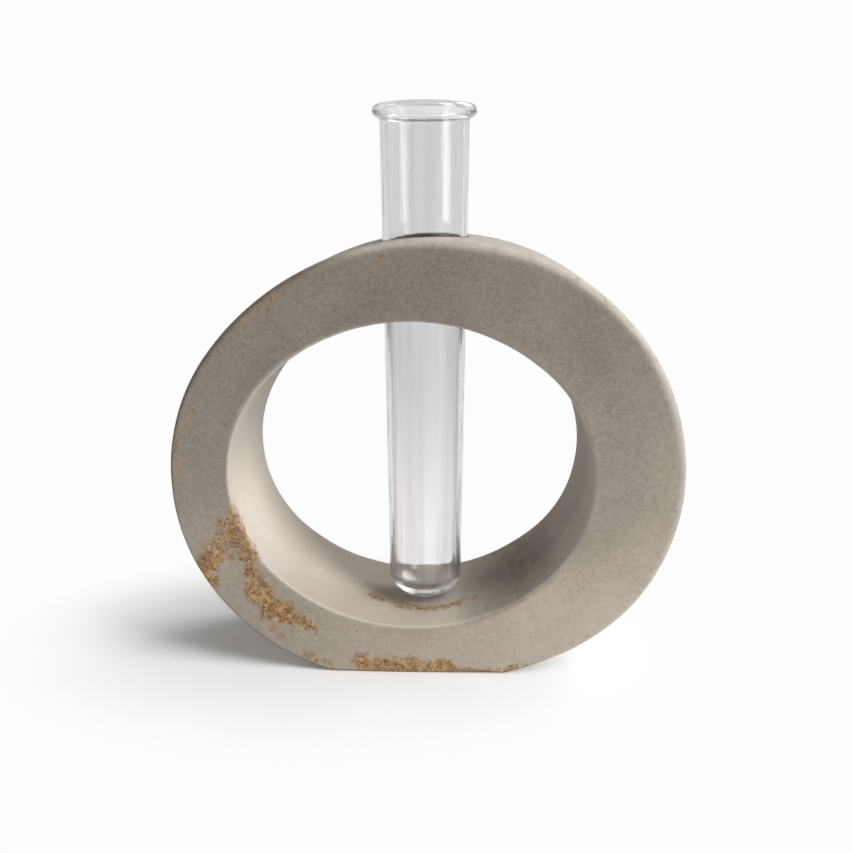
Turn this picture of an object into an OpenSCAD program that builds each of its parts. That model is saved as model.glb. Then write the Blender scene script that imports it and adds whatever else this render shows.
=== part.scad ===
// Oval ring of cast concrete that stands on a flat foot and holds one glass tube for a flower stem.
// The ring stands up on edge with its opening facing front and back, along Y.
// The tube drops in through a round hole in the crown and rests on the floor of the opening.
// The origin is on the ground under the middle of the ring, with X to the right and Z up.

/* [Concrete ring] */
// Width of the ring at its widest line
ring_w = 149.3; // [140:0.5:164]
// Height of the ring from the foot to the crown
ring_h = 129.5; // [124:0.5:134]
// Depth of the ring from front to back
ring_d = 46.5; // [36:0.5:60]
// Height of the widest line above the foot
waist_z = 60.8; // [59:0.1:65]
// Radius of the outline's left and right arcs
side_r = 60.9; // [56:0.1:62.5]
// Lean of the outline: its top arc lies this far to the right of the middle, its bottom arc to the left
outline_lean = 2.4; // [0:0.1:4]
// How far the flat foot cuts into the outline's bottom arc
foot_cut = 3.5; // [2.6:0.1:6]
// Size of the worn rounding on the front and back outer edges
edge_r = 2.2; // [0.5:0.1:4]

/* [Opening] */
// Width of the oval opening
opening_w = 105; // [96:0.5:110]
// Height of the oval opening
opening_h = 91.2; // [86:0.2:96]
// Radius of the opening's left and right arcs
opening_side_r = 41.3; // [36:0.1:42.5]
// Thickness of the concrete under the opening
floor_t = 15.4; // [12:0.1:22]
// Distance of the opening to the left of the ring's middle
opening_shift = 4.4; // [0:0.1:8]
// Bevel on the opening's front and back edges
opening_bevel = 0.8; // [0.2:0.1:2]

/* [Glass tube] */
// Length of the tube over its lip and rounded bottom
tube_len = 150; // [135:1:180]
// Outer diameter of the wall just under the lip
mouth_od = 25.8; // [22.8:0.1:28]
// Outer diameter of the wall just above the rounded bottom
foot_od = 22.6; // [18:0.1:25.6]
// Thickness of the glass wall
glass_t = 1.6; // [1:0.1:2.4]
// Thickness of the glass at the middle of the bottom
bottom_t = 3.6; // [2:0.1:6]
// Height of the rounded bottom
dome_h = 8; // [6:0.5:9]
// Outer diameter of the rolled lip
lip_od = 30; // [28:0.1:34]
// Height of the rolled lip
lip_h = 3.8; // [2.6:0.1:5]
// Distance of the tube to the left of the ring's middle
tube_shift = 1.2; // [0:0.1:4]

/* [Fits] */
// Room all round between the tube and the hole in the crown
hole_clearance = 0.4; // [0.2:0.05:1]
// Gap between the tube's bottom and the floor of the opening that it rests on
seat_gap = 0.1; // [0.05:0.05:0.3]

/* [Hidden] */
$fn = 160;

// Cutters run past the faces they cut by this much
cut_past = 1;
// Flats that make up each rounded edge
edge_steps = 3;
// Neighbouring arcs of an outline step by arc_step and lap by arc_lap degrees, to join as one solid
arc_step = 0.005;
arc_lap = 12;
// Each arc's slab leaves this radius free about the arc's centre, which the core fills
hub_r = 1;
// Degrees either side of the tube's axis that the flatter middle of its rounded bottom spans
dome_turn = 45;

// Heights above and below the ring's widest line
crown_rise = ring_h - waist_z;
keel_fall = waist_z + foot_cut;

// Opening measured from its own middle
opening_z = floor_t + opening_h / 2;
opening_end_r = opening_h / 2 + centre_drop(opening_w / 2, opening_h / 2, opening_side_r);

// Rounded bottom of the tube, outside and inside
dome_end_r = dome_end_radius(foot_od / 2, dome_h);
well_r = foot_od / 2 - glass_t;
well_dome_h = dome_h - glass_t;

// The bottom is a ball that lies in the opening's bottom arc, a little to one side of its lowest line
seat_r = opening_end_r - dome_end_r;
tube_z = floor_t + seat_r - sqrt((seat_r - seat_gap) ^ 2 - (opening_shift - tube_shift) ^ 2);
dome_z = tube_z + dome_h;
tube_top = tube_z + tube_len;
lip_r = lip_h / 2;
lip_z = tube_top - lip_r;
hole_r = tube_radius(ring_h) + hole_clearance;

// Distance from an oval's widest line to the centre of its end arc, on the far side of the line.
// That end arc reaches the height called rise and runs smoothly into a side arc of radius side.
function centre_drop(half_w, rise, side) =
    ((half_w - side) ^ 2 - (rise - side) ^ 2) / (2 * (rise - side));

// Radius of the arc that joins a side to an end arc which leans that way.
// The end arc has the radius end_r, and its centre lies past the widest line by drop.
function lean_radius(half_w, end_r, drop, lean) =
    (end_r ^ 2 - (half_w - lean) ^ 2 - drop ^ 2) / (2 * (end_r - half_w + lean));

// Radii of the end and of the side of a round bottom, which meet smoothly at dome_turn
function dome_step(radius, height) = (radius - height) / (sin(dome_turn) + cos(dome_turn) - 1);
function dome_end_radius(radius, height) = height + dome_step(radius, height) * cos(dome_turn);
function dome_side_radius(radius, height) = radius - dome_step(radius, height) * sin(dome_turn);

// Outer radius of the tube's wall at a height
function tube_radius(z) =
    (foot_od + (mouth_od - foot_od) * (z - dome_z) / (lip_z - dome_z)) / 2;

// Section of a slab's rim out to a radius, with its two edges rounded in flats.
// The outermost flats run on past the slab's faces, which are cut level afterwards.
module rounded_rim(radius, depth, edge) {
    turn = 90 / edge_steps;
    inset = edge - depth / 2;
    level = depth / 2 + edge * (1 - cos(turn));
    polygon(concat(
        [[hub_r, level], [hub_r, -level], [radius - edge - edge * sin(turn), -level]],
        [for (step = [1:edge_steps])
            [radius - edge + edge * sin(step * turn), inset - edge * cos(step * turn)]],
        [for (step = [0:edge_steps - 1])
            [radius - edge + edge * cos(step * turn), edge * sin(step * turn) - inset]],
        [[radius - edge - edge * sin(turn), level]]
    ));
}

// Section of a cutter's rim out to a radius, flared by a bevel where it leaves a slab of that depth
module flared_rim(radius, depth, bevel) {
    reach = depth / 2 + cut_past;
    flare = bevel + cut_past;
    polygon([
        [hub_r, -reach], [radius + flare, -reach], [radius, flare - reach],
        [radius, reach - flare], [radius + flare, reach], [hub_r, reach]
    ]);
}

// One arc of an oval: its rim section turned about the arc's centre from one angle to another
module arc_wedge(radius, from, to, depth, edge) {
    rotate([0, 0, from])
        rotate_extrude(angle = to - from)
            if (edge > 0)
                rounded_rim(radius, depth, edge);
            else
                flared_rim(radius, depth, -edge);
}

// Upper half of an oval slab, whose top arc reaches up to reach and leans to the right.
// The left side has the radius side, and a wider arc joins the right side to the leaning top.
module oval_half(half_w, reach, side, depth, edge, lean) {
    side_x = half_w - side;
    drop = centre_drop(half_w + lean, reach, side);
    end_r = reach + drop;
    wide_r = lean_radius(half_w, end_r, drop, lean);
    left_turn = atan2(side_x + lean, drop);
    right_turn = atan2(half_w - wide_r - lean, drop);

    translate([lean, -drop, 0])
        arc_wedge(end_r, 90 - right_turn, 90 + left_turn, depth, edge);
    translate([half_w - wide_r, 0, 0])
        arc_wedge(wide_r - arc_step, 0, 90 - right_turn + arc_lap, depth, edge);
    translate([-side_x, 0, 0])
        arc_wedge(side - 2 * arc_step, 90 + left_turn - arc_lap, 180 + arc_lap, depth, edge);
}

// Oval slab that lies in the XY plane with its widest line on the X axis.
// Its top arc reaches up by rise and its bottom arc down by fall, and they lean to opposite sides.
// A positive edge rounds the slab, whose faces are still to be cut level to its depth.
// A negative one flares it as a cutter.
module oval_slab(half_w, rise, fall, side, depth, edge, lean) {
    oval_half(half_w, rise, side, depth, edge, lean);
    rotate([0, 0, 180])
        oval_half(half_w, fall, side, depth, edge, lean);
    cylinder(h = depth + 2 * cut_past, r = min(rise, fall) / 2, center = true);
}

// Stands a slab up, so that its depth runs along Y
module stand(x, z) {
    translate([x, 0, z])
        rotate([90, 0, 0])
            children();
}

// The concrete ring: an oval slab with a flat foot, an oval opening and a hole in its crown
module concrete_ring() {
    color([0.60, 0.58, 0.54])
        difference() {
            intersection() {
                stand(0, waist_z)
                    oval_slab(ring_w / 2, crown_rise, keel_fall, side_r, ring_d, edge_r, outline_lean);
                translate([-ring_w / 2 - cut_past, -ring_d / 2, 0])
                    cube([ring_w + 2 * cut_past, ring_d, ring_h + cut_past]);
            }
            stand(-opening_shift, opening_z)
                oval_slab(opening_w / 2, opening_h / 2, opening_h / 2, opening_side_r,
                    ring_d, -opening_bevel, 0);
            translate([-tube_shift, 0, opening_z])
                cylinder(h = ring_h, r = hole_r);
        }
}

// Half section of a solid round bottom, with its lowest point at height zero
module dome_section(radius, height) {
    end_r = dome_end_radius(radius, height);
    side_r = dome_side_radius(radius, height);
    intersection() {
        translate([0, end_r])
            circle(r = end_r);
        polygon([[0, 0], [end_r * tan(dome_turn), 0], [0, end_r]]);
        square([radius, height]);
    }
    intersection() {
        translate([radius - side_r, height])
            circle(r = side_r);
        square([radius, height]);
    }
}

// The glass tube: a tapered wall with a round bottom and a rolled lip, turned in one piece
module glass_tube() {
    well_z = tube_z + bottom_t;
    well_dome_z = well_z + well_dome_h;
    mouth_r = mouth_od / 2;
    color([0.85, 0.89, 0.90, 0.35])
        translate([-tube_shift, 0, 0])
            rotate_extrude()
                difference() {
                    union() {
                        translate([0, tube_z])
                            dome_section(foot_od / 2, dome_h);
                        polygon([
                            [0, dome_z], [foot_od / 2, dome_z], [mouth_r, lip_z], [0, lip_z]
                        ]);
                        translate([lip_od / 2 - lip_r, lip_z])
                            circle(r = lip_r);
                    }
                    translate([0, well_z])
                        dome_section(well_r, well_dome_h);
                    polygon([
                        [0, well_dome_z], [well_r, well_dome_z], [mouth_r - glass_t, lip_z],
                        [mouth_r - glass_t, tube_top], [0, tube_top]
                    ]);
                }
}

concrete_ring();
glass_tube();
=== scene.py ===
import logging
import math
from dataclasses import dataclass, field, replace
from enum import Enum
from functools import cached_property
from typing import Callable

import bmesh
import bpy
import numpy as np
from mathutils import Matrix, Vector


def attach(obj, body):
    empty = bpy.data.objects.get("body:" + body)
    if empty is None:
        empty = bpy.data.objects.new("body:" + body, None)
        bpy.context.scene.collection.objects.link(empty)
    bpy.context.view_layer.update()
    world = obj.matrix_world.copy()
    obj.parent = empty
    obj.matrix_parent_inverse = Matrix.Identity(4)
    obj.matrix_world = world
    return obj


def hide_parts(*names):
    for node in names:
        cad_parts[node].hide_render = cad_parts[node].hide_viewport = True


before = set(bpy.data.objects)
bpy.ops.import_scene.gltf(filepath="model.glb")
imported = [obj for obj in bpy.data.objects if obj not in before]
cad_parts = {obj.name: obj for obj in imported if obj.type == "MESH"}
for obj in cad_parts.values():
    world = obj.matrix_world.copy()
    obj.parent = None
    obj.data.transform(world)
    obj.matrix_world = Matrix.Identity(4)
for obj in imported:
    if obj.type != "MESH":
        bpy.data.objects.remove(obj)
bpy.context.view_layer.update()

LOG = logging.getLogger("ring_vase")
MM = 0.001
HAIR = 1e-6  # a difference in metres or radians that counts as none
LINE_SPARE = 0.02 * MM  # how near to an outline an edge belongs to it
TURN_SPARE = 0.02  # radians by which an arc's ends are taken further there

Pair = tuple[float, float]
Point = tuple[float, float, float]
Colour = tuple[float, float, float]
Span = tuple[float, ...]  # where a remap starts and ends, and its results there if not 0 and 1
Socket = bpy.types.NodeSocket


class Body(Enum):
    """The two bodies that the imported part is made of."""

    RING = "ring"
    TUBE = "tube"


class Slot(Enum):
    """The material slots."""

    CONCRETE = "concrete"
    GLASS = "clear_glass"


class WearAndPaintedLight(Enum):
    """Point attributes of the concrete mesh that its finish reads."""

    RUST = "rust"
    # painted shade: darker shaded rims, the hole rim round the tube and the inner corner's shadow
    GRIME = "painted_shade"
    # pale rounded edges and tops: partly wear, partly painted highlight
    EDGE = "edge"
    # paler inner wall, with a painted pool of light on its lit left side
    INSIDE = "inside"


def ramp(places: np.ndarray, start: float, run: float) -> np.ndarray:
    """How far each place has come on a way, from 0 at its start to 1 at its end.

    Args:
        places: Places along the way, in metres.
        start: Where the way starts, in millimetres.
        run: Its length in millimetres, negative where it goes down.

    Returns:
        The shares, between 0 and 1.
    """
    return np.clip((places - start * MM) / (run * MM), 0, 1)


class Bench:
    """The work bench: small steps that every modelled piece uses."""

    @staticmethod
    def clear_selection() -> None:
        """Leaves no object selected or active."""
        if bpy.context.object and bpy.context.object.mode != "OBJECT":
            bpy.ops.object.mode_set(mode="OBJECT")
        bpy.ops.object.select_all(action="DESELECT")
        bpy.context.view_layer.objects.active = None

    @staticmethod
    def activate(piece: bpy.types.Object) -> None:
        """Makes one piece the only selected and active object."""
        Bench.clear_selection()
        piece.select_set(True)
        bpy.context.view_layer.objects.active = piece

    @staticmethod
    def edit(piece: bpy.types.Object) -> None:
        """Opens a piece in edit mode with vertex selection and nothing picked."""
        Bench.activate(piece)
        bpy.ops.object.mode_set(mode="EDIT")
        bpy.ops.mesh.select_mode(type="VERT")
        bpy.ops.mesh.select_all(action="DESELECT")

    @staticmethod
    def close_edit() -> None:
        """Goes back to object mode."""
        bpy.ops.object.mode_set(mode="OBJECT")

    @staticmethod
    def pick_points(piece: bpy.types.Object, wanted: Callable[[Vector], bool]) -> None:
        """Picks the vertices of an open piece that pass a test of their place.

        Args:
            piece: The piece that is open in edit mode.
            wanted: Tells from a vertex's place whether it is picked.
        """
        mesh = bmesh.from_edit_mesh(piece.data)
        for vert in mesh.verts:
            vert.select = wanted(vert.co)
        mesh.select_flush_mode()
        bmesh.update_edit_mesh(piece.data)

    @staticmethod
    def pick_edges(piece: bpy.types.Object, wanted: Callable[[bmesh.types.BMEdge], bool]) -> int:
        """Picks the edges of an open piece that pass a test.

        Args:
            piece: The piece that is open in edit mode.
            wanted: Tells from an edge whether it is picked.

        Returns:
            How many edges are picked.
        """
        bpy.ops.mesh.select_mode(type="EDGE")
        mesh = bmesh.from_edit_mesh(piece.data)
        for face in mesh.faces:
            face.select = False
        for edge in mesh.edges:
            edge.select_set(False)
        found = [edge for edge in mesh.edges if wanted(edge)]
        for edge in found:
            edge.select_set(True)
        bmesh.update_edit_mesh(piece.data)
        return len(found)

    @staticmethod
    def read(items: bpy.types.bpy_prop_collection, key: str, width: int, kind: type = float) -> np.ndarray:
        """Reads one property of a mesh's vertices or edges.

        Args:
            items: The vertices or edges.
            key: The property's name.
            width: Numbers in the property.
            kind: Their kind.

        Returns:
            An array with one row for each item.
        """
        values = np.empty(len(items) * width, dtype=kind)
        items.foreach_get(key, values)
        return values.reshape(-1, width)

    @staticmethod
    def note(mesh: bpy.types.Mesh, name: str, domain: str, values: np.ndarray) -> None:
        """Writes one number for each vertex or edge into a new attribute.

        Args:
            mesh: The mesh.
            name: The attribute's name.
            domain: POINT or EDGE.
            values: The numbers.
        """
        layer = mesh.attributes.new(name, "FLOAT", domain)
        layer.data.foreach_set("value", values.astype(np.float32))

    @staticmethod
    def tidy_shell(piece: bpy.types.Object, weld: float) -> None:
        """Welds doubled vertices and turns every face of a closed shell outwards.

        Args:
            piece: The piece to tidy.
            weld: Distance under which two vertices become one, in metres.
        """
        Bench.edit(piece)
        bpy.ops.mesh.select_all(action="SELECT")
        bpy.ops.mesh.remove_doubles(threshold=weld)
        bpy.ops.mesh.normals_make_consistent(inside=False)
        Bench.close_edit()

    @staticmethod
    def settle(piece: bpy.types.Object, name: str, sharp_degrees: float) -> None:
        """Names a piece, puts its place into its mesh and shades it smooth.

        Args:
            piece: The piece to settle.
            name: Its name in the scene.
            sharp_degrees: Angle between faces from which an edge stays sharp.
        """
        Bench.activate(piece)
        bpy.ops.object.transform_apply(location=True, rotation=True, scale=True)
        piece.name = name
        piece.data.name = name
        bpy.ops.object.shade_smooth_by_angle(angle=math.radians(sharp_degrees))


@dataclass(frozen=True)
class Arc:
    """One arc of an outline in the XZ plane, its angles counted from straight up towards +X."""

    centre_x: float
    centre_z: float
    radius: float
    start: float
    end: float

    def point(self, turn: float) -> Pair:
        """The (x, z) place on the arc's circle at an angle in radians."""
        return (self.centre_x + self.radius * math.sin(turn), self.centre_z + self.radius * math.cos(turn))

    def measure(self, places: np.ndarray, spare: float) -> tuple[np.ndarray, np.ndarray]:
        """Which places lie between the arc's ends, and how far inside its circle they lie.

        Args:
            places: N by 3 places.
            spare: Angle in radians by which both ends are taken further.

        Returns:
            N truth values, and N distances that are negative outside the circle.
        """
        x, z = places[:, 0] - self.centre_x, places[:, 2] - self.centre_z
        turn = np.mod(np.arctan2(x, z) - self.start + spare, 2 * math.pi)
        return turn <= self.end - self.start + 2 * spare, self.radius - np.hypot(x, z)


@dataclass(frozen=True)
class Oval:
    """An oval of smoothly joined arcs, like the ring's outline and its opening.

    A lean moves its top arc to the right and its bottom arc to the left. A wider arc then joins each of them
    to the side that it leans to.
    """

    middle_x: float
    middle_z: float
    half_width: float
    rise: float
    fall: float
    side_radius: float
    lean: float = 0.0

    def half(self, reach: float, turned: float) -> tuple[Arc, Arc, Arc]:
        """The arcs of one half, as the upper one or turned half round as the lower one.

        Args:
            reach: The end arc's height above, or depth below, the widest line.
            turned: 0 for the upper half, pi for the lower one.

        Returns:
            The far side's arc, the end arc and the wider arc, clockwise as seen from the front.
        """
        sign = math.cos(turned)
        side_x, near = self.half_width - self.side_radius, self.half_width - self.lean
        spare = reach - self.side_radius
        drop = ((side_x + self.lean) ** 2 - spare**2) / (2 * spare)
        end_radius = reach + drop
        wide_radius = (end_radius**2 - near**2 - drop**2) / (2 * (end_radius - near))
        wide_x = self.half_width - wide_radius
        left, right = math.atan2(side_x + self.lean, drop), math.atan2(wide_x - self.lean, drop)
        x, z = self.middle_x, self.middle_z
        return (
            Arc(x - sign * side_x, z, self.side_radius, turned - math.pi / 2, turned - left),
            Arc(x + sign * self.lean, z - sign * drop, end_radius, turned - left, turned + right),
            Arc(x + sign * wide_x, z, wide_radius, turned + right, turned + math.pi / 2),
        )

    def arcs(self) -> tuple[Arc, ...]:
        """The six arcs, clockwise from the upper left one as seen from the front."""
        return self.half(self.rise, 0.0) + self.half(self.fall, math.pi)

    def on_line(self, places: np.ndarray) -> np.ndarray:
        """Which of N by 3 places lie on the oval's line, as N truth values."""
        found = np.zeros(len(places), dtype=bool)
        for arc in self.arcs():
            within, depth = arc.measure(places, TURN_SPARE)
            found |= within & (np.abs(depth) < LINE_SPARE)
        return found

    def depth(self, places: np.ndarray) -> np.ndarray:
        """How far inside the oval each of N by 3 places lies, as N distances, negative outside it."""
        inside = np.zeros(len(places))
        for arc in self.arcs():
            within, depth = arc.measure(places, HAIR)
            inside = np.where(within, depth, inside)
        return inside


@dataclass(frozen=True)
class Stain:
    """A rust stain along a line of points, in millimetres, as wide as its reach."""

    points: tuple[Point, ...]
    reach: float
    strength: float

    def weight(self, places: np.ndarray) -> np.ndarray:
        """How strongly each place is stained.

        Args:
            places: An N by 3 array of places in metres.

        Returns:
            N weights from 0 to the stain's strength.
        """
        line = np.array(self.points) * MM
        nearest = np.linalg.norm(places - line[0], axis=1)
        for a, b in zip(line[:-1], line[1:]):
            along = np.clip((places - a) @ (b - a) / ((b - a) @ (b - a)), 0, 1)
            nearest = np.minimum(nearest, np.linalg.norm(places - a - along[:, None] * (b - a), axis=1))
        t = np.clip(1 - nearest / (self.reach * MM), 0, 1)
        return self.strength * t * t * (3 - 2 * t)


@dataclass(frozen=True)
class Grain:
    """How a noise looks: its cells in a metre, octaves, the strength of each, and how far it bends itself."""

    scale: float
    detail: float
    rough: float = 0.5
    warp: float = 0.0


class Shader:
    """Adds nodes to one material or world, left to right, and links them by name."""

    def __init__(self, owner: bpy.types.Material | bpy.types.World, output: str = "OutputMaterial") -> None:
        """Clears the owner's nodes and adds its output.

        Args:
            owner: The new material or world.
            output: The output node's type name, without its ShaderNode start.
        """
        owner.use_nodes = True
        self.owner = owner
        self.tree = owner.node_tree
        self.tree.nodes.clear()
        self.output = self.node(output)

    @cached_property
    def place(self) -> Socket:
        """The place on the piece, in its Object coordinates."""
        return self.node("TexCoord").outputs["Object"]

    def node(self, kind: str, settings: dict[str, object] | None = None, **inputs: object) -> bpy.types.Node:
        """Adds a node.

        Args:
            kind: The node's type name, without its ShaderNode start.
            settings: Properties of the node.
            **inputs: Input sockets by name, underscores for spaces; a socket links and a value is set.

        Returns:
            The new node.
        """
        made = self.tree.nodes.new("ShaderNode" + kind)
        for key, value in (settings or {}).items():
            setattr(made, key, value)
        for key, value in inputs.items():
            self.feed(made.inputs[key.replace("_", " ")], value)
        return made

    def feed(self, socket: Socket, value: object) -> None:
        """Links a socket to another, or sets its value.

        Args:
            socket: The input socket.
            value: An output socket, a number, a place or a colour.
        """
        if isinstance(value, Socket):
            self.tree.links.new(value, socket)
        elif socket.type == "RGBA":
            socket.default_value = (*value, 1.0)
        else:
            socket.default_value = value

    def sum_up(self, operation: str, a: object, b: object = 0.0) -> Socket:
        """A Math node on two numbers.

        Args:
            operation: The Math node's operation.
            a: First number or socket.
            b: Second number or socket.

        Returns:
            The result's socket.
        """
        made = self.node("Math", {"operation": operation})
        self.feed(made.inputs[0], a)
        self.feed(made.inputs[1], b)
        return made.outputs[0]

    def times(self, a: object, b: object) -> Socket:
        """The product of two numbers or sockets."""
        return self.sum_up("MULTIPLY", a, b)

    def remap(
        self, value: Socket, low: float, high: float, to_low: float = 0.0, to_high: float = 1.0
    ) -> Socket:
        """Spreads a range of a value smoothly over another range.

        Args:
            value: The value's socket.
            low: Value that becomes to_low.
            high: Value that becomes to_high.
            to_low: Result at low.
            to_high: Result at high.

        Returns:
            The result's socket.
        """
        ranges = {"From_Min": low, "From_Max": high, "To_Min": to_low, "To_Max": to_high}
        made = self.node("MapRange", {"interpolation_type": "SMOOTHSTEP"}, Value=value, **ranges)
        return made.outputs["Result"]

    def mix(self, factor: object, a: object, b: object, blend: str = "MIX") -> Socket:
        """A colour mix of a and b.

        Args:
            factor: Share of b, as a number or socket.
            a: First colour or socket.
            b: Second colour or socket.
            blend: The Mix node's blend type.

        Returns:
            The mixed colour's socket.
        """
        made = self.node("Mix", {"data_type": "RGBA", "blend_type": blend})
        for index, value in ((0, factor), (6, a), (7, b)):
            self.feed(made.inputs[index], value)
        return made.outputs[2]

    def blend(self, factor: object, a: Socket, b: Socket) -> Socket:
        """A surface mixed of two.

        Args:
            factor: Share of b, as a number or socket.
            a: First surface's socket.
            b: Second surface's socket.

        Returns:
            The mixed surface's socket.
        """
        made = self.node("MixShader")
        for socket, value in zip(made.inputs, (factor, a, b)):
            self.feed(socket, value)
        return made.outputs["Shader"]

    def noise(self, grain: Grain, where: Socket | None = None) -> Socket:
        """A 3D noise.

        Args:
            grain: How the noise looks.
            where: The place's socket, where it isn't the plain place on the piece.

        Returns:
            The noise's socket.
        """
        where = self.place if where is None else where
        made = self.node("TexNoise", Vector=where, Scale=grain.scale, Detail=grain.detail)
        self.feed(made.inputs["Roughness"], grain.rough)
        self.feed(made.inputs["Distortion"], grain.warp)
        return made.outputs["Fac"]

    def stretched(self, scale: Point) -> Socket:
        """The place with each of its three directions scaled."""
        return self.node("Mapping", Vector=self.place, Scale=scale).outputs["Vector"]

    def attribute(self, wear: WearAndPaintedLight) -> Socket:
        """The value of one of the mesh's own attributes."""
        return self.node("Attribute", {"attribute_name": wear.value}).outputs["Fac"]

    def seen(self) -> Socket:
        """Tells the rays that show the white surroundings: all but those that have left a matt surface."""
        path = self.node("LightPath").outputs
        shown = self.sum_up("MAXIMUM", path["Is Camera Ray"], path["Is Transmission Ray"])
        shown = self.sum_up("MAXIMUM", shown, path["Is Glossy Ray"])
        return self.times(shown, self.sum_up("LESS_THAN", path["Diffuse Depth"], 0.5))

    def finish(self, surface: Socket) -> bpy.types.ID:
        """Connects the surface to the output.

        Args:
            surface: The surface shader's socket.

        Returns:
            The finished material or world.
        """
        self.feed(self.output.inputs["Surface"], surface)
        return self.owner


@dataclass(frozen=True)
class ConcreteFinish:
    """Matte cast concrete: warm grey with sand speckle, pale worn edges that are partly painted highlight,
    pin holes, rust stains, and painted light and shade: lighter low and to the right, a lit pool on the inner
    wall and darkened shaded spots.
    """

    pale: Colour = (0.405, 0.358, 0.300)
    deep: Colour = (0.325, 0.288, 0.240)
    dust: Colour = (0.50, 0.455, 0.395)
    # paler inner-wall colour, which also carries the painted pool of light
    inside: Colour = (0.65, 0.592, 0.52)
    # colour of the pale edges: partly wear, partly painted highlight
    edge: Colour = (0.56, 0.52, 0.455)
    # near-black colour of painted shade, in the pin holes and the shaded spots
    shade_dark: Colour = (0.10, 0.075, 0.050)
    line: Colour = (0.10, 0.046, 0.018)
    rust: Colour = (0.36, 0.190, 0.064)
    ochre: Colour = (0.56, 0.345, 0.125)
    crumb: Colour = (0.72, 0.53, 0.29)
    clouds: Grain = Grain(26, 4, 0.5, 0.3)
    patches: Grain = Grain(130, 4, 0.6)
    sand: Grain = Grain(1500, 3, 0.7)
    fines: Grain = Grain(3800, 2, 0.6)
    streaks: Grain = Grain(260, 3, 0.5)
    mottle: Grain = Grain(560, 4, 0.62, 0.3)
    bubbly: Grain = Grain(90, 2)
    broken: Grain = Grain(330, 4, 0.62, 0.4)
    wander: Grain = Grain(240, 5, 0.65, 0.8)
    tone: Grain = Grain(420, 2, 0.5, 1.0)
    threads: Grain = Grain(430, 1, 0.45, 2.4)
    side_threads: Grain = Grain(640, 1, 0.45, 1.6)
    thread_gaps: Grain = Grain(520, 1, 0.5)
    cloud_span: Span = (0.30, 0.70)
    dust_span: Span = (0.54, 0.76, 0.0, 0.30)
    rubbed_span: Span = (0.0, 0.2, 1.0, 0.25)
    streak_stretch: Point = (0.10, 1.0, 0.10)
    streak_span: Span = (0.30, 0.60, 0.10, 0.0)
    mottle_span: Span = (0.34, 0.62, 0.14, 0.0)
    dark_grit_span: Span = (0.36, 0.56, 0.30, 0.0)
    pale_grit_span: Span = (0.54, 0.68, 0.0, 0.26)
    grit_up: Span = (0.0, 0.115, 0.55, 1.35)
    # painted light: lighter towards the bottom, as if lit by the floor, and towards the right
    painted_light_up: Span = (0.0, 0.115, 1.33, 0.935)
    painted_light_across: Span = (-0.06, 0.06, 0.885, 1.012)
    bubbles: float = 260.0
    bubble_span: Span = (0.09, 0.05)
    bubbly_span: Span = (0.52, 0.66)
    edge_span: Span = (0.28, 0.58, 0.45, 1.0)
    # how the painted shade breaks up into patches
    shade_patch_span: Span = (0.30, 0.66, 0.66, 1.0)
    near_stain: Span = (0.0, 0.45)
    on_stain: Span = (0.0, 0.20)
    haze_span: Span = (0.05, 1.15, 0.0, 0.86)
    rust_span: Span = (0.45, 0.95)
    ochre_span: Span = (0.40, 0.58)
    crumb_span: Span = (0.60, 0.72)
    thread_span: Span = (0.060, 0.018)
    side_span: Span = (0.050, 0.014)
    gap_span: Span = (0.36, 0.56, 0.25, 1.0)
    drawn_span: Span = (0.30, 0.75)
    rough_span: Span = (0.3, 0.7, 0.78, 0.92)
    gloss: float = 0.3
    relief: float = 0.6 * MM
    patch_relief: float = 0.10
    grit_relief: float = 0.22
    pin_relief: float = 0.5
    rust_relief: float = 0.35
    # how dark the painted shade in the pin holes is
    pin_share: float = 0.65
    edge_share: float = 0.75
    wander_share: float = 2.3
    side_share: float = 0.7
    line_share: float = 0.88

    def make(self) -> bpy.types.Material:
        """Builds the material.

        Returns:
            The concrete material.
        """
        s = Shader(bpy.data.materials.new("cast_concrete"))
        body, speckle, patches = self.cast_body(s)
        body, pin = self.pin_holes(s, body)
        body = self.worn(s, body)
        body, rust, line = self.stained(s, body)
        height = s.sum_up("ADD", s.times(patches, self.patch_relief), s.times(speckle, self.grit_relief))
        height = s.sum_up("SUBTRACT", height, s.times(pin, self.pin_relief))
        pitted = s.times(rust, s.sum_up("ADD", line, 0.3))
        height = s.sum_up("SUBTRACT", height, s.times(pitted, self.rust_relief))
        bump = s.node("Bump", Height=height, Strength=0.6, Distance=self.relief).outputs["Normal"]
        rough = s.remap(patches, *self.rough_span)
        skin = s.node(
            "BsdfPrincipled", Base_Color=body, Roughness=rough, Specular_IOR_Level=self.gloss, Normal=bump
        )
        return s.finish(skin.outputs["BSDF"])

    def cast_body(self, s: Shader) -> tuple[Socket, Socket, Socket]:
        """The cast grey: soft clouds, sand speckle, the streaks that the mould left on the walls, a paler
        inner wall with a painted pool of light, and painted light that makes it lighter towards the bottom
        and the right.

        Args:
            s: The shader being built.

        Returns:
            Sockets of the colour, the speckle and the small patches.
        """
        patches = s.noise(self.patches)
        speckle = s.sum_up("ADD", s.times(s.noise(self.sand), 0.5), s.times(s.noise(self.fines), 0.5))
        inner = s.attribute(WearAndPaintedLight.INSIDE)
        rubbed = s.remap(inner, *self.rubbed_span)
        body = s.mix(s.remap(s.noise(self.clouds), *self.cloud_span), self.deep, self.pale)
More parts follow.
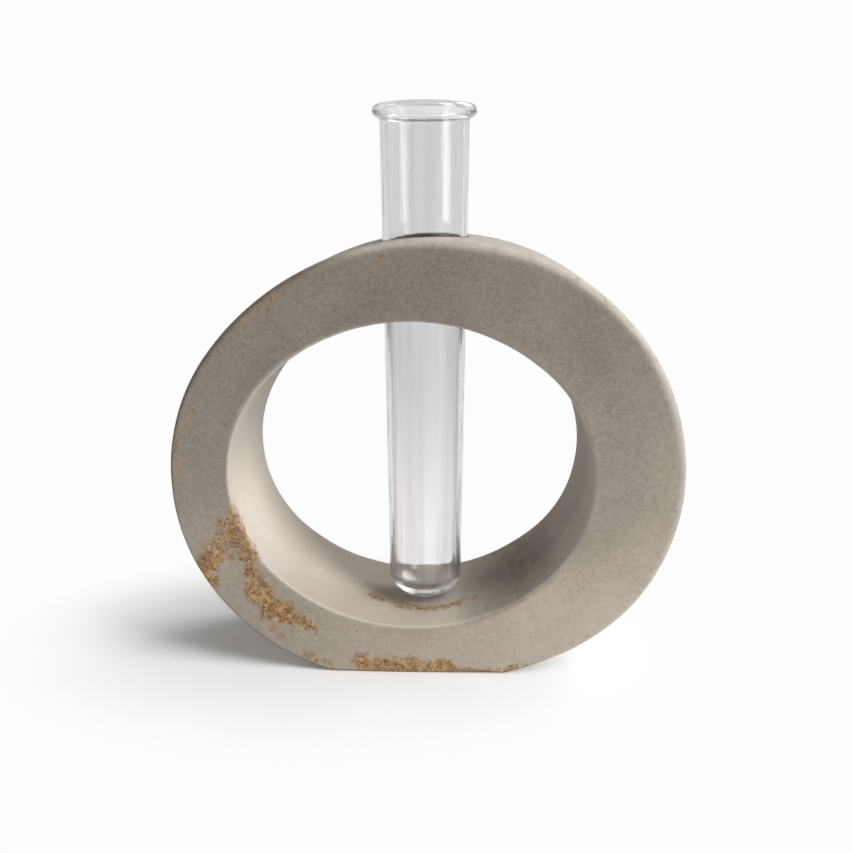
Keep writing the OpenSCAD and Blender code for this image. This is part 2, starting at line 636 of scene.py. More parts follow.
        # paler inner wall, brightest where a pool of light is painted on its lit left side
        body = s.mix(inner, body, self.inside)
        body = s.mix(s.remap(patches, *self.dust_span), body, self.dust)
        streak = s.remap(s.noise(self.streaks, s.stretched(self.streak_stretch)), *self.streak_span)
        mottle = s.remap(s.noise(self.mottle), *self.mottle_span)
        for darker in (streak, mottle):
            body = s.mix(s.times(darker, rubbed), body, self.deep, "MULTIPLY")
        axes = s.node("SeparateXYZ", Vector=s.place).outputs
        grit = s.times(s.remap(axes["Z"], *self.grit_up), rubbed)
        dark_grit = s.times(s.remap(speckle, *self.dark_grit_span), grit)
        pale_grit = s.times(s.remap(speckle, *self.pale_grit_span), grit)
        body = s.mix(dark_grit, body, self.deep, "MULTIPLY")
        body = s.mix(pale_grit, body, self.dust)
        # painted light: lighter towards the bottom and the right
        shade = s.times(s.remap(axes["Z"], *self.painted_light_up), s.remap(axes["X"], *self.painted_light_across))
        shade = s.node("CombineColor", Red=shade, Green=shade, Blue=shade).outputs["Color"]
        return s.mix(1.0, body, shade, "MULTIPLY"), s.times(speckle, rubbed), patches

    def pin_holes(self, s: Shader, body: Socket) -> tuple[Socket, Socket]:
        """Adds the few tiny holes that air bubbles left, darkened with painted shade.

        Args:
            s: The shader being built.
            body: The colour so far.

        Returns:
            Sockets of the colour and of the holes' mask.
        """
        holes = s.node("TexVoronoi", {"feature": "F1"}, Vector=s.place, Scale=self.bubbles, Randomness=1.0)
        rare = s.remap(s.noise(self.bubbly), *self.bubbly_span)
        pin = s.times(s.remap(holes.outputs["Distance"], *self.bubble_span), rare)
        # painted shade inside the pin holes
        return s.mix(s.times(pin, self.pin_share), body, self.shade_dark), pin

    def worn(self, s: Shader, body: Socket) -> Socket:
        """Pales the rubbed edges, partly as wear and partly as painted highlight, and darkens the spots of
        painted shade.

        Args:
            s: The shader being built.
            body: The colour so far.

        Returns:
            The colour's socket.
        """
        broken = s.noise(self.broken)
        # pale edges: partly wear, partly painted highlight
        rubbed = s.times(s.attribute(WearAndPaintedLight.EDGE), s.remap(broken, *self.edge_span))
        body = s.mix(s.times(rubbed, self.edge_share), body, self.edge)
        # painted shade: shaded rims, the hole rim and the inner corner's shadow, broken up by noise
        shade_patch = s.times(s.attribute(WearAndPaintedLight.GRIME), s.remap(broken, *self.shade_patch_span))
        return s.mix(shade_patch, body, self.shade_dark)

    def stained(self, s: Shader, body: Socket) -> tuple[Socket, Socket, Socket]:
        """Adds the rust: a soft ochre haze under a net of thin wandering brown lines.

        Args:
            s: The shader being built.
            body: The colour so far.

        Returns:
            Sockets of the colour, the rust's mask and the lines' mask.
        """
        weight = s.attribute(WearAndPaintedLight.RUST)
        here = s.remap(weight, *self.near_stain)
        wander = s.times(s.sum_up("SUBTRACT", s.noise(self.wander), 0.5), self.wander_share)
        uneven = s.sum_up("ADD", weight, wander)
        haze = s.times(s.remap(uneven, *self.haze_span), here)
        rust = s.times(s.remap(uneven, *self.rust_span), here)
        tone = s.noise(self.tone)
        ochre = s.mix(s.remap(tone, *self.ochre_span), self.rust, self.ochre)
        ochre = s.mix(s.remap(tone, *self.crumb_span), ochre, self.crumb)
        body = s.mix(haze, body, ochre)
        line = self.net(s, self.threads, self.thread_span)
        side = s.times(self.net(s, self.side_threads, self.side_span), self.side_share)
        gaps = s.remap(s.noise(self.thread_gaps), *self.gap_span)
        line = s.times(s.sum_up("MAXIMUM", line, side), gaps)
        drawn = s.times(line, s.remap(uneven, *self.drawn_span))
        drawn = s.times(drawn, s.remap(weight, *self.on_stain))
        return s.mix(s.times(drawn, self.line_share), body, self.line), rust, line

    @staticmethod
    def net(s: Shader, grain: Grain, span: Span) -> Socket:
        """Thin lines where a noise crosses its middle value.

        Args:
            s: The shader being built.
            grain: How the noise looks.
            span: Distances from the middle value at which a line starts and is full.

        Returns:
            The lines' socket.
        """
        return s.remap(s.sum_up("ABSOLUTE", s.sum_up("SUBTRACT", s.noise(grain), 0.5)), *span)


@dataclass(frozen=True)
class GlassFinish:
    """Clear laboratory glass with a faint grey tint, clearer towards the bottom, with painted shade that
    darkens the wall where it is seen edge on and painted reflection streaks along it.
    """

    index: float = 1.48
    roughness: float = 0.01
    low: Colour = (1.0, 0.995, 1.0)
    high: Colour = (0.835, 0.828, 0.835)
    clear_to: Span = (0.026, 0.098)
    # painted shade on the wall where it is seen edge on, darker low down
    rim: Colour = (0.70, 0.695, 0.70)
    low_rim: Colour = (0.56, 0.555, 0.56)
    rim_from: Span = (0.50, 0.66)
    drawn_out: Point = (1.0, 1.0, 0.03)
    ripple: Grain = Grain(700, 2, 0.5)
    ripple_relief: float = 0.15 * MM
    # painted reflection: faint vertical grey streaks along the drawn glass
    streaks: Grain = Grain(170, 2, 0.45)
    streak_span: Span = (0.58, 0.42, 0.0, 0.46)
    streak: Colour = (0.80, 0.795, 0.80)
    tint: Colour = (0.72, 0.715, 0.71)
    density: float = 28.0

    def make(self) -> bpy.types.Material:
        """Builds the material.

        Returns:
            The glass material.
        """
        s = Shader(bpy.data.materials.new("clear_tube_glass"))
        along = s.stretched(self.drawn_out)
        bump = s.node("Bump", Height=s.noise(self.ripple, along), Strength=0.6, Distance=self.ripple_relief)
        rising = s.remap(s.node("SeparateXYZ", Vector=s.place).outputs["Z"], *self.clear_to)
        facing = s.node("LayerWeight", Blend=0.5).outputs["Facing"]
        film, rim = s.mix(rising, self.low, self.high), s.mix(rising, self.low_rim, self.rim)
        # painted shade: the wall darkens where it is seen edge on
        film = s.mix(s.remap(facing, *self.rim_from), film, rim, "MULTIPLY")
        # painted reflection streaks, multiplied into the glass colour
        streaks = s.remap(s.noise(self.streaks, along), *self.streak_span)
        film = s.mix(streaks, film, self.streak, "MULTIPLY")
        glass = s.node("BsdfPrincipled", Base_Color=film, Roughness=self.roughness, IOR=self.index)
        s.feed(glass.inputs["Normal"], bump.outputs["Normal"])
        s.feed(glass.inputs["Transmission Weight"], 1.0)
        inside = s.node("VolumeAbsorption", Color=self.tint, Density=self.density)
        s.feed(s.output.inputs["Volume"], inside.outputs["Volume"])
        return s.finish(glass.outputs["BSDF"])


@dataclass
class ConcreteRing:
    """The cast ring: its outer skin, opening, flat foot, worn edges, tube hole and stains.

    A pair in its wear is where something starts to show and the way to its full strength, in millimetres.
    """

    width: float = 149.2 * MM
    height: float = 129.5 * MM
    depth: float = 46.5 * MM
    waist: float = 60.8 * MM
    side_radius: float = 60.9 * MM
    lean: float = 2.4 * MM
    foot_cut: float = 3.5 * MM
    opening_width: float = 105.0 * MM
    opening_height: float = 91.2 * MM
    opening_side_radius: float = 41.3 * MM
    opening_shift: float = 4.4 * MM
    floor: float = 15.4 * MM
    hole_x: float = -1.2 * MM
    hole_radius: float = 12.95 * MM
    hole_sides: int = 144
    drill_length: float = 46 * MM
    drill_drop: float = 8 * MM
    outer_steps: tuple[int, ...] = (31, 81, 68, 55, 13)
    foot_steps: int = 46
    heel_steps: int = 66
    inner_steps: tuple[int, ...] = (38, 104, 38, 38, 104, 38)
    weld: float = 0.05 * MM
    sharp_from: float = 38.0
    edge_width: float = 4.2 * MM
    edge_flats: int = 6
    depth_rows: int = 34
    face_rows: int = 14
    face_least: float = 6 * MM
    worn_even: Pair = (0.48, 0.30)
    worn_most: float = 40.0
    inner_even: float = 0.24
    outer_waves: tuple[Point, ...] = ((0.06, 5, 1.0), (0.05, 11, 0.0))
    inner_waves: tuple[Point, ...] = ((0.05, 7, 0.0), (0.03, 17, 0.0))
    swells: tuple[tuple[str, float, float], ...] = (
        ("swell", 24 * MM, 0.30 * MM), ("ripple", 5 * MM, 0.10 * MM)
    )
    above_foot: Pair = (0.3, 3)
    # painted shade on the rounded edges of the left side and along the foot
    shaded_left: Pair = (18, 16)
    shaded_foot: Pair = (6, -6)
    # painted shade on the lower right side: where it starts and how strong it is
    shade_right: Pair = (30, 20)
    shade_low: Pair = (95, -40)
    # width of the painted shade along the hole's rim round the tube
    hole_rim: Pair = (0.8, -0.8)
    lit_high: Pair = (27, 22)
    lit_left: Pair = (15, 20)
    wall_start: Pair = (-1.2, 0.8)
    # middle and reach of the painted shadow in the inner lower right corner
    shadow_pool_at: Pair = (27 * MM, 24 * MM)
    shadow_pool_reach: Pair = (22 * MM, 13 * MM)
    edge_zone: float = 5 * MM
    crown_zone: float = 3.5 * MM
    wall_zone: float = 2 * MM
    # painted light on the tops: how facing up makes the outside paler
    lit_top_slope: Pair = (1.6, -0.3)
    lit_top_share: float = 0.6
    shade_share: float = 0.85
    # strengths of the painted shade on the shaded rims, the hole rim and the inner corner's shadow
    painted_shade_shares: Point = (0.75, 0.3, 0.55)
    # paleness of the inner wall, and the painted light added on its lit left side
    inside_pale_and_lit: Pair = (0.22, 0.55)
    stains: tuple[Stain, ...] = (
        Stain(((-55.5, -23.3, 47.0), (-58.5, -23.3, 44.0), (-62.5, -23.3, 38.5)), 8.6, 0.84),
        Stain(((-63.5, -23.3, 37.0), (-66.5, -22.8, 32.0), (-64.5, -22.0, 28.5)), 6.4, 1.15),
        Stain(((-55.3, -22.6, 51.5), (-54.6, -22.8, 46.0), (-53.4, -23.0, 40.5)), 4.5, 0.95),
        Stain(((-54.4, -23.3, 43.5), (-52.8, -23.3, 34.0), (-50.4, -23.3, 26.5)), 6.25, 0.85),
        Stain(((-50.4, -23.3, 26.5), (-46.6, -23.3, 21.5), (-42.0, -23.3, 18.3)), 7.5, 1.15),
        Stain(((-42.0, -23.3, 18.3), (-38.0, -23.3, 16.3), (-33.5, -23.3, 14.6)), 4.25, 1.0),
        Stain(((-48.3, -23.3, 15.0), (-43.4, -23.3, 11.7)), 4.5, 0.42),
        Stain(((-20.0, -23.3, 2.5), (-8.0, -23.3, 2.0), (6.0, -23.3, 1.2)), 5.75, 1.0),
        Stain(((6.0, -23.3, 0.9), (19.0, -23.3, 0.8), (29.0, -23.0, 2.2)), 3.0, 0.75),
        Stain(((45.7, -22.8, 11.3), (49.5, -22.8, 13.6)), 2.25, 0.45),
        Stain(((-36.0, -22.8, 5.2), (-28.0, -23.2, 1.6)), 3.0, 0.7),
        Stain(((-42.0, -23.0, 113.6), (-50.4, -23.0, 106.6)), 3.6, 0.36),
        Stain(((-67.7, -23.0, 81.4), (-69.4, -23.0, 77.3)), 4.0, 0.46),
        Stain(((-71.8, -23.0, 70.5), (-72.4, -23.0, 64.0)), 3.25, 0.6),
        Stain(((-12.3, -22.9, 124.2),), 3.25, 0.46),
        Stain(
            (
                (-17.0, -5.0, 17.4), (-9.0, -9.5, 15.8), (0.0, -10.5, 15.4),
                (8.0, -9.8, 15.9), (14.0, -8.5, 17.0),
            ),
            5.6, 0.70,
        ),
        Stain(((20.0, 2.0, 20.0), (25.0, 6.0, 23.0)), 5.0, 0.34),
        Stain(((-5.0, -12.9, 129.0), (0.5, -13.2, 129.2)), 2.0, 0.9),
        Stain(((-56.8, -21.6, 49.0), (-56.4, -22.0, 46.5)), 3.2, 1.0),
        Stain(((-55.0, -21.6, 42.0), (-53.2, -21.8, 37.5)), 2.9, 0.95),
    )
    piece: bpy.types.Object | None = field(default=None, repr=False)

    def outline(self) -> Oval:
        """The ring's outer outline, with the bottom arc still whole."""
        rise, fall = self.height - self.waist, self.waist + self.foot_cut
        return Oval(0.0, self.waist, self.width / 2, rise, fall, self.side_radius, self.lean)

    def opening(self) -> Oval:
        """The outline of the opening."""
        half_width, half = self.opening_width / 2, self.opening_height / 2
        return Oval(-self.opening_shift, self.floor + half, half_width, half, half, self.opening_side_radius)

    @staticmethod
    def spin_line(arc: Arc, steps: int) -> None:
        """Turns the picked line on round an arc, leaving its new end picked.

        Args:
            arc: The arc to follow, from its start.
            steps: Steps on the way.
        """
        middle = (arc.centre_x, 0.0, arc.centre_z)
        bpy.ops.mesh.spin(
            steps=steps, angle=arc.end - arc.start, center=middle, axis=(0.0, -1.0, 0.0), use_auto_merge=False
        )

    def line_across(self, name: str, place: Pair) -> bpy.types.Object:
        """A straight line of vertices through the ring's depth, to be turned into a skin.

        Args:
            name: Name of the new piece.
            place: The (x, z) place where the line stands.

        Returns:
            The piece, open in edit mode with the line picked.
        """
        Bench.clear_selection()
        bpy.ops.mesh.primitive_plane_add(size=self.depth, location=(0.0, 0.0, 0.0))
        piece = bpy.context.object
        piece.name = name
        Bench.edit(piece)
        Bench.pick_points(piece, lambda co: co.x < 0)
        bpy.ops.mesh.delete(type="VERT")
        bpy.ops.mesh.select_all(action="SELECT")
        bpy.ops.transform.translate(value=(place[0] - self.depth / 2, 0.0, place[1]))
        return piece

    def outer_skin(self) -> bpy.types.Object:
        """The skin round the outside: left, crown and right side down to the foot, foot, and up again."""
        *upper, keel, heel = self.outline().arcs()
        keel = replace(keel, end=math.acos(-keel.centre_z / keel.radius))
        heel = replace(heel, start=2 * math.pi - math.acos(-heel.centre_z / heel.radius))
        foot_step = (heel.point(heel.start)[0] - keel.point(keel.end)[0]) / self.foot_steps
        piece = self.line_across("ring_outside", upper[0].point(upper[0].start))
        for arc, steps in zip((*upper, keel), self.outer_steps):
            self.spin_line(arc, steps)
        for _ in range(self.foot_steps):
            bpy.ops.mesh.extrude_region_move(TRANSFORM_OT_translate={"value": (foot_step, 0.0, 0.0)})
        self.spin_line(heel, self.heel_steps)
        Bench.close_edit()
        return piece

    def inner_skin(self) -> bpy.types.Object:
        """The skin round the inside of the opening."""
        arcs = self.opening().arcs()
        piece = self.line_across("ring_inside", arcs[0].point(arcs[0].start))
        for arc, steps in zip(arcs, self.inner_steps):
            self.spin_line(arc, steps)
        bpy.ops.mesh.select_all(action="SELECT")
        bpy.ops.mesh.flip_normals()
        Bench.close_edit()
        return piece

    def build(self) -> None:
        """Builds the concrete ring."""
        outside, inside = self.outer_skin(), self.inner_skin()
        Bench.activate(outside)
        inside.select_set(True)
        bpy.ops.object.join()
        piece = bpy.context.object
        Bench.edit(piece)
        bpy.ops.mesh.select_all(action="SELECT")
        bpy.ops.mesh.remove_doubles(threshold=self.weld)
        face_y = self.depth / 2 - HAIR
        for side in (-1, 1):
            Bench.pick_edges(piece, lambda e, s=side: all(v.co.y * s > face_y for v in e.verts))
            bpy.ops.mesh.bridge_edge_loops()
        bpy.ops.mesh.select_all(action="SELECT")
        bpy.ops.mesh.normals_make_consistent(inside=False)
        Bench.close_edit()
        self.round_edges(piece)
        self.add_rows(piece)
        self.drill(piece)
        self.wear_down(piece)
        self.mark(piece)
        Bench.settle(piece, "concrete_ring_cast", self.sharp_from)
        self.piece = piece

    def round_edges(self, piece: bpy.types.Object) -> None:
        """Rounds the front and back edges, more where the ring is more worn.

        Args:
            piece: The ring with square edges.
        """
        mesh = piece.data
        ends = Bench.read(mesh.edges, "vertices", 2, np.int32)
        places = Bench.read(mesh.vertices, "co", 3)[ends]
        sides, middle = places[:, :, 1], places.mean(axis=1)
        flush = (np.abs(sides) > self.depth / 2 - HAIR).all(axis=1) & (sides.prod(axis=1) > 0)
        outer = flush & (self.outline().on_line(middle) | (middle[:, 2] < HAIR))
        inner = flush & self.opening().on_line(middle)
        angle = np.arctan2(middle[:, 0], middle[:, 2] - self.waist)
        worn = self.worn_even[0] + self.worn_even[1] * np.cos(angle - math.radians(self.worn_most))
        weight = np.where(outer, self.uneven(worn, angle, self.outer_waves), 0.0)
        weight = np.where(inner, self.uneven(self.inner_even, angle, self.inner_waves), weight)
        Bench.note(mesh, "bevel_weight_edge", "EDGE", np.clip(weight, 0, 1))
        Bench.activate(piece)
        bevel = piece.modifiers.new("worn_edges", "BEVEL")
        bevel.limit_method = "WEIGHT"
        bevel.width = self.edge_width
        bevel.segments = self.edge_flats
        bevel.use_clamp_overlap = False
        bpy.ops.object.modifier_apply(modifier=bevel.name)

    @staticmethod
    def uneven(worn: np.ndarray | float, angle: np.ndarray, waves: tuple[Point, ...]) -> np.ndarray:
        """Adds waves to the wear round an edge.

        Args:
            worn: The even wear, from 0 to 1.
            angle: Angles round the ring, in radians.
            waves: Height, number round the ring and start of each wave.

        Returns:
            The wear at each angle.
        """
        for height, count, start in waves:
            worn = worn + height * np.sin(count * angle + start)
        return worn

    def add_rows(self, piece: bpy.types.Object) -> None:
        """Divides the long faces between the rounded edges into rows, fine enough to show wear.

        Args:
            piece: The ring with rounded edges.
        """
        Bench.edit(piece)
        for through, rows, least in (
            (True, self.depth_rows, self.depth / 2), (False, self.face_rows, self.face_least)
        ):
            count = Bench.pick_edges(piece, lambda e, t=through, r=least: self.spans(e, t, r))
            bpy.ops.mesh.subdivide_edgering(number_cuts=rows, interpolation="LINEAR")
            LOG.info("rows added across %d edges", count)
        Bench.close_edit()

    @staticmethod
    def spans(edge: bmesh.types.BMEdge, through: bool, least: float) -> bool:
        """Whether an edge is a long one through the depth, or a long one across a face.

        Args:
            edge: The edge.
            through: True for edges through the depth, False for edges across the front or back face.
            least: Length from which an edge counts as long.

        Returns:
            Whether it is such an edge.
        """
        run = edge.verts[1].co - edge.verts[0].co
        if through:
            return abs(run.y) > least
        return run.length > least and abs(run.y) < HAIR

    def drill(self, piece: bpy.types.Object) -> None:
        """Drills the round hole for the tube down through the crown.

        Args:
            piece: The ring.
        """
        Bench.clear_selection()
        place = (self.hole_x, 0.0, self.height - self.drill_drop)
        bpy.ops.mesh.primitive_cylinder_add(
            vertices=self.hole_sides, radius=self.hole_radius, depth=self.drill_length, location=place
        )
        drill = bpy.context.object
        Bench.activate(piece)
        cut = piece.modifiers.new("tube_hole", "BOOLEAN")
        cut.operation = "DIFFERENCE"
        cut.solver = "MANIFOLD"
        cut.object = drill
        bpy.ops.object.modifier_apply(modifier=cut.name)
        Bench.activate(drill)
        bpy.ops.object.delete()

    def wear_down(self, piece: bpy.types.Object) -> None:
        """Gives the cast faces their slight unevenness, always inwards and never on the foot.

        Args:
            piece: The ring.
        """
        group = piece.vertex_groups.new(name="above_foot")
        heights = Bench.read(piece.data.vertices, "co", 3)[:, 2]
        for index, share in enumerate(ramp(heights, *self.above_foot)):
            group.add([index], share, "REPLACE")
        Bench.activate(piece)
        for name, size, depth in self.swells:
            texture = bpy.data.textures.new(name, "CLOUDS")
            texture.noise_scale = size
            texture.noise_depth = 2
            push = piece.modifiers.new(name, "DISPLACE")
            push.texture = texture
            push.texture_coords = "LOCAL"
            push.mid_level = 1.0
            push.strength = depth
            push.vertex_group = group.name
            bpy.ops.object.modifier_apply(modifier=push.name)

    def mark(self, piece: bpy.types.Object) -> None:
        """Writes the rust, painted shade, edge and inside attributes that the finish reads; the edge one also
        holds painted highlight and the inside one a painted pool of light.

        Args:
            piece: The ring.
        """
        mesh = piece.data
        places, normals = (Bench.read(mesh.vertices, key, 3) for key in ("co", "normal"))
        x, y, z = places.T
        inner = self.opening().depth(places)
        outside = inner < -self.edge_zone
        facing = np.abs(normals[:, 1])
        tilt = np.clip(2 * facing * np.sqrt(np.clip(1 - facing**2, 0, 1)), 0, 1)
        rounded = tilt**2 * (np.abs(y) > self.depth / 2 - self.edge_zone)
        # painted shade: the left side, which faces away from the light, and the foot's edge
        shaded_rim = np.maximum(ramp(-x, *self.shaded_left), ramp(z, *self.shaded_foot)) * outside
        # painted light: the outside is paler where it faces up
        lit_top = np.clip(normals[:, 2] * self.lit_top_slope[0] + self.lit_top_slope[1], 0, 1) * outside
        # painted shade: the lower right side is kept darker than its light makes it
        shaded_right_side = ramp(x, *self.shade_right) * ramp(z, *self.shade_low)
        # pale rounded edges, partly wear and partly painted highlight, plus the painted light on tops
        edge = np.clip(rounded + self.lit_top_share * lit_top, 0, 1)
        # no pale edge where painted shade lies: the left side, the foot and the lower right
        edge = edge * (1 - shaded_rim) * (1 - self.shade_share * shaded_right_side)
        away = np.abs(np.hypot(x - self.hole_x, y) - self.hole_radius)
        # painted shade along the hole's rim, in the gap round the tube
        rim = (z > self.height - self.crown_zone) * ramp(away, *self.hole_rim)
        # painted shadow on the inner lower right, where the right wall shades the floor
        shadow_pool = (places[:, ::2] - self.shadow_pool_at) / self.shadow_pool_reach
        shadow_pool = np.sqrt(np.clip(1 - np.hypot(*shadow_pool.T), 0, 1) * (inner > -self.wall_zone))
        # painted shade: shaded rims, the gap round the tube and the inner corner's shadow together
        shares = zip(self.painted_shade_shares, (rounded * shaded_rim, rim, shadow_pool))
        painted_shade = np.clip(sum(share * values for share, values in shares), 0, 1)
        # painted pool of light on the inner wall's left side, above the floor
        lit = ramp(z, *self.lit_high) * ramp(-x, *self.lit_left)
        inside = ramp(inner, *self.wall_start) * (self.inside_pale_and_lit[0] + self.inside_pale_and_lit[1] * lit)
        rust = np.max([stain.weight(places) for stain in self.stains], axis=0)
        marks = {WearAndPaintedLight.RUST: rust, WearAndPaintedLight.GRIME: painted_shade, WearAndPaintedLight.EDGE: edge, WearAndPaintedLight.INSIDE: inside}
        for attribute, values in marks.items():
            Bench.note(mesh, attribute.value, "POINT", values)

    def dress(self, finish: ConcreteFinish) -> None:
        """Gives the ring its finish and its place in the frame.

        Args:
            finish: The concrete finish.
        """
        self.piece.data.materials.clear()
        self.piece.data.materials.append(finish.make())
        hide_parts("concrete_ring")
        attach(self.piece, Body.RING.value)


@dataclass
class GlassTube:
    """The rimmed tube: a slightly tapered wall, a rounded thick bottom and a rolled lip."""

    axis_x: float = -1.2 * MM
    bottom: float = 15.6 * MM
    length: float = 150.0 * MM
    foot_radius: float = 11.3 * MM
    mouth_radius: float = 12.9 * MM
    wall: float = 1.45 * MM
    bottom_wall: float = 2.0 * MM
    dome: float = 8.0 * MM
    dome_turn: float = 45.0
    lip_radius: float = 15.0 * MM
    lip_height: float = 3.8 * MM
    lip_from: float = -62.0
    lip_turn: float = 212.0
    dome_steps: int = 12
    wall_steps: int = 24
    lip_steps: int = 18
    sides: int = 176
    weld: float = 1e-7
    sharp_from: float = 60.0
    piece: bpy.types.Object | None = field(default=None, repr=False)

    def dome_line(self, radius: float, height: float, base: float) -> list[Pair]:
        """Half outline of a round bottom of two smoothly joined arcs.

        Args:
            radius: Radius where the bottom meets the wall.
            height: Height of the bottom.
            base: Height of its lowest point.

        Returns:
            (radius, height) pairs from the axis outwards, without the point on the axis.
        """
        turn, steps = math.radians(self.dome_turn), self.dome_steps
        step = (radius - height) / (math.sin(turn) + math.cos(turn) - 1)
        end, side = height + step * math.cos(turn), radius - step * math.sin(turn)
        low = [turn * i / steps for i in range(1, steps + 1)]
        high = [turn + (math.pi / 2 - turn) * i / steps for i in range(1, steps + 1)]
        line = [(end * math.sin(a), base + end - end * math.cos(a)) for a in low]
        return line + [(radius - side + side * math.sin(a), base + height - side * math.cos(a)) for a in high]

    def wall_line(self, start: Pair, end: Pair) -> list[Pair]:
        """Points on a straight wall, without the first.

        Args:
            start: Radius and height where the wall starts.
            end: Radius and height where it ends.

        Returns:
            (radius, height) pairs.
        """
        shares = [i / self.wall_steps for i in range(1, self.wall_steps + 1)]
        return [(start[0] + (end[0] - start[0]) * t, start[1] + (end[1] - start[1]) * t) for t in shares]

    def profile(self) -> list[Pair]:
        """Outline of the glass from the bottom's middle, up outside, over the lip and down inside."""
        bead = self.lip_height / 2
        bead_radius = self.lip_radius - bead
        lip_z = self.bottom + self.length - bead
        neck = lip_z - bead * 0.95
        mouth, mouth_inner = self.mouth_radius, self.mouth_radius - self.wall
        well, well_dome = self.foot_radius - self.wall, self.dome - self.wall
        well_base = self.bottom + self.bottom_wall
        line = self.dome_line(self.foot_radius, self.dome, self.bottom)
        line += self.wall_line((self.foot_radius, self.bottom + self.dome), (mouth, neck - 1.2 * MM))
        line += [(mouth + 0.05 * MM, neck - 0.6 * MM), (mouth + 0.25 * MM, neck - 0.2 * MM)]
        for i in range(self.lip_steps + 1):
            a = math.radians(self.lip_from + self.lip_turn * i / self.lip_steps)
            line.append((bead_radius + bead * math.cos(a), lip_z + bead * math.sin(a)))
        inner_top = (mouth_inner, lip_z - 0.8 * MM)
        line += [(mouth_inner + 0.1 * MM, lip_z + 0.2 * MM), inner_top]
        line += self.wall_line(inner_top, (well, well_base + well_dome))
        return line + self.dome_line(well, well_dome, well_base)[-2::-1]

    def build(self) -> None:
        """Draws the tube up from a circle, ring by ring, as on a glass lathe."""
        line = self.profile()
        radius, height = line[0]
        Bench.clear_selection()
        bpy.ops.mesh.primitive_circle_add(
            vertices=self.sides, radius=radius, fill_type="TRIFAN", location=(self.axis_x, 0.0, 0.0)
        )
        piece = bpy.context.object
        bpy.ops.object.transform_apply(location=True)
        Bench.edit(piece)
        bpy.ops.mesh.select_all(action="SELECT")
        bpy.ops.transform.translate(value=(0.0, 0.0, height))
        Bench.pick_points(piece, lambda co: math.hypot(co.x - self.axis_x, co.y) < radius / 2)
        bpy.ops.transform.translate(value=(0.0, 0.0, self.bottom - height))
        Bench.pick_points(piece, lambda co: math.hypot(co.x - self.axis_x, co.y) > radius / 2)
        bpy.ops.mesh.select_mode(type="EDGE")
        for new_radius, new_height in line[1:]:
            self.draw_up(new_height - height)
            scale, middle = new_radius / radius, (self.axis_x, 0.0, new_height)
            bpy.ops.transform.resize(value=(scale, scale, 1.0), center_override=middle)
            radius, height = new_radius, new_height
        self.draw_up(self.bottom + self.bottom_wall - height)
        bpy.ops.mesh.merge(type="CENTER")
        Bench.close_edit()
        Bench.tidy_shell(piece, self.weld)
        Bench.settle(piece, "glass_tube_blown", self.sharp_from)
        self.piece = piece

    @staticmethod
    def draw_up(way: float) -> None:
        """Draws the picked rim up by a way in metres, or down where it is negative."""
        bpy.ops.mesh.extrude_edges_move(TRANSFORM_OT_translate={"value": (0.0, 0.0, way)})

    def dress(self, finish: GlassFinish) -> None:
        """Gives the tube its finish and its place in the frame.

        Args:
            finish: The glass finish.
        """
        self.piece.data.materials.clear()
        self.piece.data.materials.append(finish.make())
        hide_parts("glass_tube")
        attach(self.piece, Body.TUBE.value)


@dataclass(frozen=True)
class Lamp:
    """A soft rectangular lamp: its place and aim in metres, its width and height, and its watts."""

    name: str
    place: Point
    aim: Point
    size: Pair
    power: float

    def hang(self) -> None:
        """Adds the lamp to the scene."""
        data = bpy.data.lights.new(self.name, "AREA")
        data.shape = "RECTANGLE"
        data.size, data.size_y = self.size
        data.energy = self.power
        lamp = bpy.data.objects.new(self.name, data)
        turn = (Vector(self.aim) - Vector(self.place)).to_track_quat("-Z", "Y").to_matrix().to_4x4()
        lamp.matrix_world = Matrix.Translation(Vector(self.place)) @ turn
        bpy.context.scene.collection.objects.link(lamp)


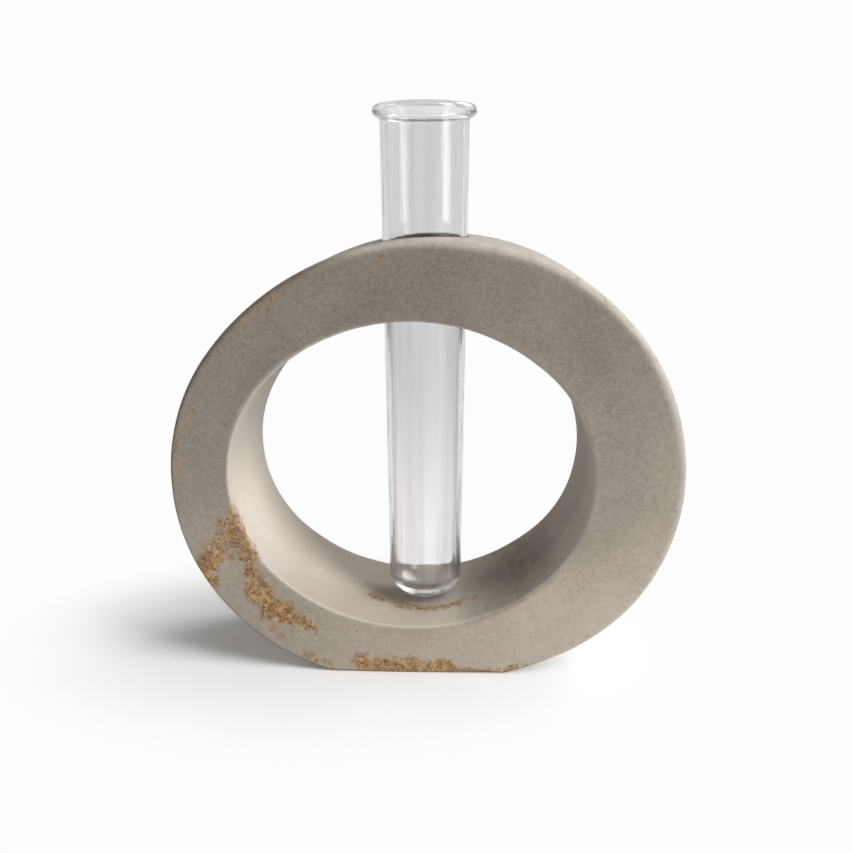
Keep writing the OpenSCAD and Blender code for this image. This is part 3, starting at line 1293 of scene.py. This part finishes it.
@dataclass
class Studio:
    """Pale floor, soft lamps, white surroundings and the camera at the photograph's angle."""

    camera_place: Point = (11.0 * MM, -272.4 * MM, 141.3 * MM)
    yaw: float = -2.482
    pitch: float = 14.403
    roll: float = -0.114
    focal_pixels: float = 911.0
    picture_pixels: float = 853.0
    sensor: float = 36.0
    floor_size: float = 8.0
    floor_drop: float = 0.02 * MM
    floor_white: Colour = (0.93, 0.93, 0.93)
    floor_dim: Colour = (0.30, 0.30, 0.30)
    floor_middle: Point = (-0.02, 0.0, 0.0)
    floor_fade: Span = (0.16, 0.26)
    shade_middle: Point = (-0.03, 0.0, 0.0)
    shade_narrow: float = 0.62
    shade_fade: Span = (0.035, 0.118)
    glass_bounces: int = 14
    backdrop: Colour = (0.98, 0.98, 0.98)
    ambient: float = 0.105
    lamps: tuple[Lamp, ...] = (
        Lamp("window_front", (1.655, -0.843, 1.723), (0.0, 0.0, 0.05), (1.25, 1.25), 51.0),
        Lamp("window_back", (1.467, 1.231, 1.657), (0.0, 0.0, 0.05), (1.25, 1.25), 31.0),
        Lamp("left_fill", (-2.15, 0.0, 1.30), (0.0, 0.0, 0.05), (1.25, 1.25), 12.0),
        Lamp("right_strip", (2.05, -1.05, 0.80), (0.0, 0.0, 0.10), (0.9, 1.7), 18.0),
        Lamp("left_strip", (-1.95, -1.25, 0.80), (0.0, 0.0, 0.10), (0.42, 1.7), 5.4),
    )

    def set_camera(self) -> None:
        """Places the camera."""
        yaw, pitch, roll = (math.radians(a) for a in (self.yaw, self.pitch, self.roll))
        ahead = Vector((math.sin(yaw) * math.cos(pitch), math.cos(yaw) * math.cos(pitch), -math.sin(pitch)))
        right = Vector((math.cos(yaw), -math.sin(yaw), 0.0))
        up = right.cross(ahead)
        right, up = right * math.cos(roll) + up * math.sin(roll), up * math.cos(roll) - right * math.sin(roll)
        turn = Matrix((right, up, -ahead)).transposed().to_4x4()
        data = bpy.data.cameras.new("photo_camera")
        data.sensor_width = self.sensor
        data.lens = self.focal_pixels / self.picture_pixels * self.sensor
        data.clip_start = 0.01
        camera = bpy.data.objects.new("photo_camera", data)
        camera.matrix_world = Matrix.Translation(Vector(self.camera_place)) @ turn
        bpy.context.scene.collection.objects.link(camera)
        bpy.context.scene.camera = camera

    def set_world(self) -> None:
        """Makes the surroundings white to the eye and dimmer as light, and lets light cross thick glass."""
        world = bpy.data.worlds.new("white_studio")
        bpy.context.scene.world = world
        s = Shader(world, "OutputWorld")
        lit = s.node("Background", Color=(1.0, 1.0, 1.0), Strength=self.ambient)
        white = s.node("Background", Color=self.backdrop, Strength=1.0)
        s.finish(s.blend(s.seen(), lit.outputs["Background"], white.outputs["Background"]))
        paths = bpy.context.scene.cycles
        paths.glossy_bounces = self.glass_bounces
        paths.transmission_bounces = self.glass_bounces
        paths.max_bounces = self.glass_bounces + 4

    @staticmethod
    def away(s: Shader, place: Socket, middle: Point) -> Socket:
        """Distance of a place from a middle.

        Args:
            s: The shader being built.
            place: The place's socket.
            middle: The middle.

        Returns:
            The distance's socket.
        """
        made = s.node("VectorMath", {"operation": "DISTANCE"})
        s.feed(made.inputs[0], place)
        s.feed(made.inputs[1], middle)
        return made.outputs["Value"]

    def lay_floor(self) -> None:
        """Lays the pale floor that takes the shadow and fades into the white surroundings."""
        Bench.clear_selection()
        bpy.ops.mesh.primitive_plane_add(size=self.floor_size, location=(0.0, 0.0, -self.floor_drop))
        floor = bpy.context.object
        floor.name = "floor"
        s = Shader(bpy.data.materials.new("pale_floor"))
        far = s.remap(self.away(s, s.place, self.floor_middle), *self.floor_fade)
        squeezed = s.stretched((1.0, 1.0 / self.shade_narrow, 1.0))
        white = s.remap(self.away(s, squeezed, self.shade_middle), *self.shade_fade)
        sheet = s.node("BsdfDiffuse", Color=self.floor_white).outputs["BSDF"]
        dim = s.node("BsdfDiffuse", Color=self.floor_dim).outputs["BSDF"]
        glow = s.node("Emission", Color=self.backdrop, Strength=1.0).outputs["Emission"]
        whole = s.blend(s.seen(), s.blend(far, sheet, dim), s.blend(white, sheet, glow))
        floor.data.materials.append(s.finish(whole))

    def set_view(self) -> None:
        """Sets how colours are shown."""
        bpy.context.scene.view_settings.view_transform = "Standard"

    def build(self) -> None:
        """Builds the whole stage."""
        self.set_camera()
        for lamp in self.lamps:
            lamp.hang()
        self.set_world()
        self.lay_floor()
        self.set_view()


def main() -> None:
    """Builds the vase and its stage in order."""
    logging.basicConfig(level=logging.INFO, format="%(name)s: %(message)s")
    Studio().build()
    ring = ConcreteRing()
    ring.build()
    ring.dress(ConcreteFinish())
    LOG.info("concrete ring: %d faces", len(ring.piece.data.polygons))
    tube = GlassTube()
    tube.build()
    tube.dress(GlassFinish())
    LOG.info("glass tube: %d faces", len(tube.piece.data.polygons))


if __name__ == "__main__":
    main()
